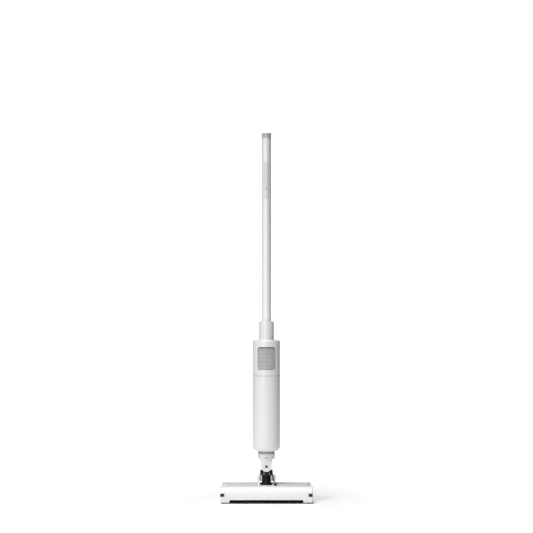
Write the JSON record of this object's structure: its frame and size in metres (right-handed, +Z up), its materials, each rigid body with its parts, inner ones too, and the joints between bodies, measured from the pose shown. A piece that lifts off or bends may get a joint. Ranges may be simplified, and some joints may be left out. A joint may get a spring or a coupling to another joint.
{
  "type": "cordless stick vacuum",
  "caption": "Slim cordless stick vacuum standing upright: wide floor head with a driven brush roller, two-axis neck, cylindrical dust cup and motor unit, and a straight pole with a grip cap.",
  "frame": {"origin": "on the floor, at the middle of the head's footprint", "axes": "+Z up along the pole, -Y towards the front of the floor head, +X to the right for someone facing its front"},
  "size_m": [0.252, 0.114, 1.0131],
  "materials": {
    "white_shell": "satin white",
    "white_tube": "white powder coat",
    "pale_grey_plastic": "satin",
    "mid_grey_plastic": "satin",
    "dark_grey_plastic": "matt",
    "black_plastic": "matt",
    "black_rubber": "matt",
    "bristle": "dense nylon bristle",
    "steel": "bright",
    "cell_wrap": "blue heat-shrink wrap over cells",
    "foam": "open foam",
    "filter_paper": "pleated paper",
    "board": "green solder mask",
    "lens": "frosted lens"
  },
  "bodies": {
    "head": {"chassis": "pale_grey_plastic", "rear_cover": "white_shell", "roller_hood": "white_shell", "head_duct": "dark_grey_plastic", "motor_lead": "black_rubber", "end_cap_left": "white_shell", "end_cap_right": "white_shell", "bumper_left": "black_rubber", "bumper_right": "black_rubber", "glide_left": "dark_grey_plastic", "glide_right": "dark_grey_plastic", "tilt_pin_left": "pale_grey_plastic", "tilt_pin_right": "pale_grey_plastic", "base_screw_1": "steel", "base_screw_2": "steel", "base_screw_3": "steel", "base_screw_4": "steel", "brush_motor": "steel", "drive_belt": "black_rubber", "hose_lower": "black_plastic", "roller_bearing_left": "steel", "roller_bearing_right": "steel"},
    "roller": {"roller_core": "mid_grey_plastic", "roller_bristles": "bristle", "roller_pulley": "dark_grey_plastic"},
    "motor_pulley": {"motor_pulley": "dark_grey_plastic"},
    "wheel_left": {"wheel_left": "dark_grey_plastic"},
    "wheel_right": {"wheel_right": "dark_grey_plastic"},
    "gimbal": {"gimbal": "black_plastic", "hose_upper": "black_plastic"},
    "neck": {"neck_clevis": "white_shell", "swing_pin_front": "dark_grey_plastic", "swing_pin_rear": "dark_grey_plastic"},
    "neck_button": {"neck_button": "white_shell"},
    "cup": {"cup_socket": "mid_grey_plastic", "dust_cup": "white_shell", "inlet_duct": "pale_grey_plastic", "filter_frame": "dark_grey_plastic", "filter_pleats": "filter_paper"},
    "inlet_flap": {"inlet_flap": "dark_grey_plastic"},
    "motor_unit": {"upper_housing": "white_shell", "exhaust_grille": "pale_grey_plastic", "exhaust_filter": "foam", "motor_pod": "pale_grey_plastic", "suction_motor": "steel", "battery_holder": "dark_grey_plastic", "battery_pack": "cell_wrap", "main_board": "board", "charge_socket": "dark_grey_plastic"},
    "impeller": {"impeller": "dark_grey_plastic"},
    "cup_latch": {"cup_latch": "white_shell"},
    "pole_latch": {"pole_latch": "white_shell"},
    "pole": {"pole_tube": "white_tube", "pole_cap": "pale_grey_plastic", "control_panel": "white_shell", "status_lens": "lens", "pole_wire": "black_rubber"},
    "power_button": {"power_button": "white_shell"},
    "mode_button": {"mode_button": "white_shell"}
  },
  "joints": [
    {"name": "roller_spin", "type": "hinge", "parent": "head", "child": "roller", "pos_m": [0, -0.032, 0.022], "axis": [1, 0, 0], "continuous": true},
    {"name": "motor_pulley_spin", "type": "hinge", "parent": "head", "child": "motor_pulley", "pos_m": [0, 0.018, 0.0202], "axis": [1, 0, 0], "continuous": true},
    {"name": "wheel_left_spin", "type": "hinge", "parent": "head", "child": "wheel_left", "pos_m": [-0.104, 0.045, 0.009], "axis": [1, 0, 0], "continuous": true},
    {"name": "wheel_right_spin", "type": "hinge", "parent": "head", "child": "wheel_right", "pos_m": [0.104, 0.045, 0.009], "axis": [1, 0, 0], "continuous": true},
    {"name": "tilt", "type": "hinge", "parent": "head", "child": "gimbal", "pos_m": [0, 0.01, 0.0645], "axis": [-1, 0, 0], "range_deg": [0, 70], "deforming": ["hose_lower", "motor_lead"]},
    {"name": "swing", "type": "hinge", "parent": "gimbal", "child": "neck", "pos_m": [0, 0.01, 0.0975], "axis": [0, 1, 0], "range_deg": [-50, 50], "deforming": ["hose_upper"]},
    {"name": "neck_button_press", "type": "slide", "parent": "neck", "child": "neck_button", "axis": [0, 1, 0], "range_m": [0, 0.003], "stiffness_N_per_m": 400, "springref_m": -0.002},
    {"name": "body_unplug", "type": "slide", "parent": "neck", "child": "cup", "axis": [0, 0, 1], "range_m": [0, 0.035]},
    {"name": "inlet_flap_open", "type": "hinge", "parent": "cup", "child": "inlet_flap", "pos_m": [0, 0.0255, 0.2097], "axis": [-1, 0, 0], "range_deg": [0, 70]},
    {"name": "cup_lift_off", "type": "slide", "parent": "cup", "child": "motor_unit", "axis": [0, 0, 1], "range_m": [0, 0.06]},
    {"name": "impeller_spin", "type": "hinge", "parent": "motor_unit", "child": "impeller", "pos_m": [0, 0.01, 0.315], "axis": [0, 0, 1], "continuous": true},
    {"name": "cup_latch_press", "type": "slide", "parent": "motor_unit", "child": "cup_latch", "axis": [0, -1, 0], "range_m": [0, 0.002], "stiffness_N_per_m": 400, "springref_m": -0.002},
    {"name": "pole_latch_press", "type": "slide", "parent": "motor_unit", "child": "pole_latch", "axis": [0, -1, 0], "range_m": [0, 0.0014], "stiffness_N_per_m": 400, "springref_m": -0.002},
    {"name": "pole_lift_out", "type": "slide", "parent": "motor_unit", "child": "pole", "axis": [0, 0, 1], "range_m": [0, 0.05]},
    {"name": "power_button_press", "type": "slide", "parent": "pole", "child": "power_button", "axis": [0, 1, 0], "range_m": [0, 0.0008], "stiffness_N_per_m": 600, "springref_m": -0.001},
    {"name": "mode_button_press", "type": "slide", "parent": "pole", "child": "mode_button", "axis": [0, 1, 0], "range_m": [0, 0.0008], "stiffness_N_per_m": 600, "springref_m": -0.001}
  ],
  "couplings": [
    {"joint": "motor_pulley_spin", "follows": "roller_spin", "ratio": 1.7018}
  ]
}
